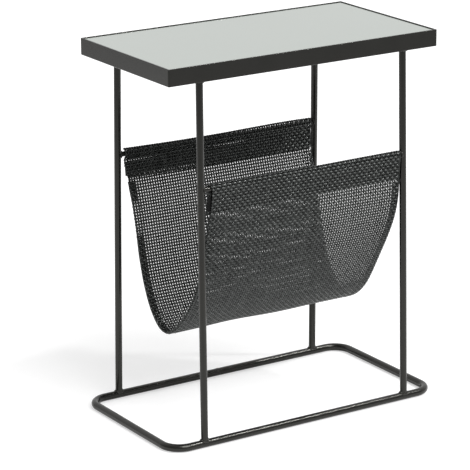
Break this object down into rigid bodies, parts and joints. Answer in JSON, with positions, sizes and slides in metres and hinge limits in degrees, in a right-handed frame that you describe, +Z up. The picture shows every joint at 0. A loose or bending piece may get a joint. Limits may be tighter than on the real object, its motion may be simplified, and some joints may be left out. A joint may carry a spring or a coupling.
{
  "type": "side table with magazine sling",
  "caption": "Narrow side table with an inset glass top, thin round steel legs on a closed foot loop, and an open mesh magazine sling hung between two cross rods.",
  "frame": {"origin": "centre of the foot loop, on the floor", "axes": "+X to the right along the long side, -Y to the front, +Z up"},
  "size_m": [0.494, 0.268, 0.59],
  "materials": {
    "powder_coat": "matt black powder coat with a fine orange-peel texture",
    "glass": "pale grey-green back-coated glass, smooth, opaque",
    "board": "black-painted fibreboard, matt",
    "bumper": "clear soft bumper",
    "screw": "black zinc",
    "mesh_fabric": "black PVC-coated yarn in an open plain weave, satin",
    "closure_tape": "black hook-and-loop tape, very matt"
  },
  "bodies": {
    "frame": {"backing_board": "board", "board_screw_left_back": "screw", "board_screw_left_end": "screw", "board_screw_left_front": "screw", "board_screw_right_back": "screw", "board_screw_right_end": "screw", "board_screw_right_front": "screw", "foot_loop": "powder_coat", "glass_bumper_left_back": "bumper", "glass_bumper_left_front": "bumper", "glass_bumper_middle_back": "bumper", "glass_bumper_middle_front": "bumper", "glass_bumper_right_back": "bumper", "glass_bumper_right_front": "bumper", "leg_back_left": "powder_coat", "leg_back_right": "powder_coat", "leg_foot_weld_back_left": "powder_coat", "leg_foot_weld_back_right": "powder_coat", "leg_foot_weld_front_left": "powder_coat", "leg_foot_weld_front_right": "powder_coat", "leg_front_left": "powder_coat", "leg_front_right": "powder_coat", "leg_top_weld_back_left": "powder_coat", "leg_top_weld_back_right": "powder_coat", "leg_top_weld_front_left": "powder_coat", "leg_top_weld_front_right": "powder_coat", "rim_back": "powder_coat", "rim_front": "powder_coat", "rim_left": "powder_coat", "rim_right": "powder_coat", "rod_weld_back_left": "powder_coat", "rod_weld_back_right": "powder_coat", "rod_weld_front_left": "powder_coat", "rod_weld_front_right": "powder_coat", "sling_rod_back": "powder_coat", "sling_rod_front": "powder_coat"},
    "glass": {"glass_top": "glass"},
    "sling": {"hook_tape_back": "closure_tape", "hook_tape_front": "closure_tape", "loop_tape_back": "closure_tape", "loop_tape_front": "closure_tape", "sling_cloth": "mesh_fabric"}
  },
  "joints": [
    {"name": "glass_lift", "type": "slide", "parent": "frame", "child": "glass", "axis": [0, 0, 1], "range_m": [0, 0.06]},
    {"name": "sling_slide", "type": "slide", "parent": "frame", "child": "sling", "axis": [1, 0, 0], "range_m": [-0.0015, 0.0005]}
  ]
}
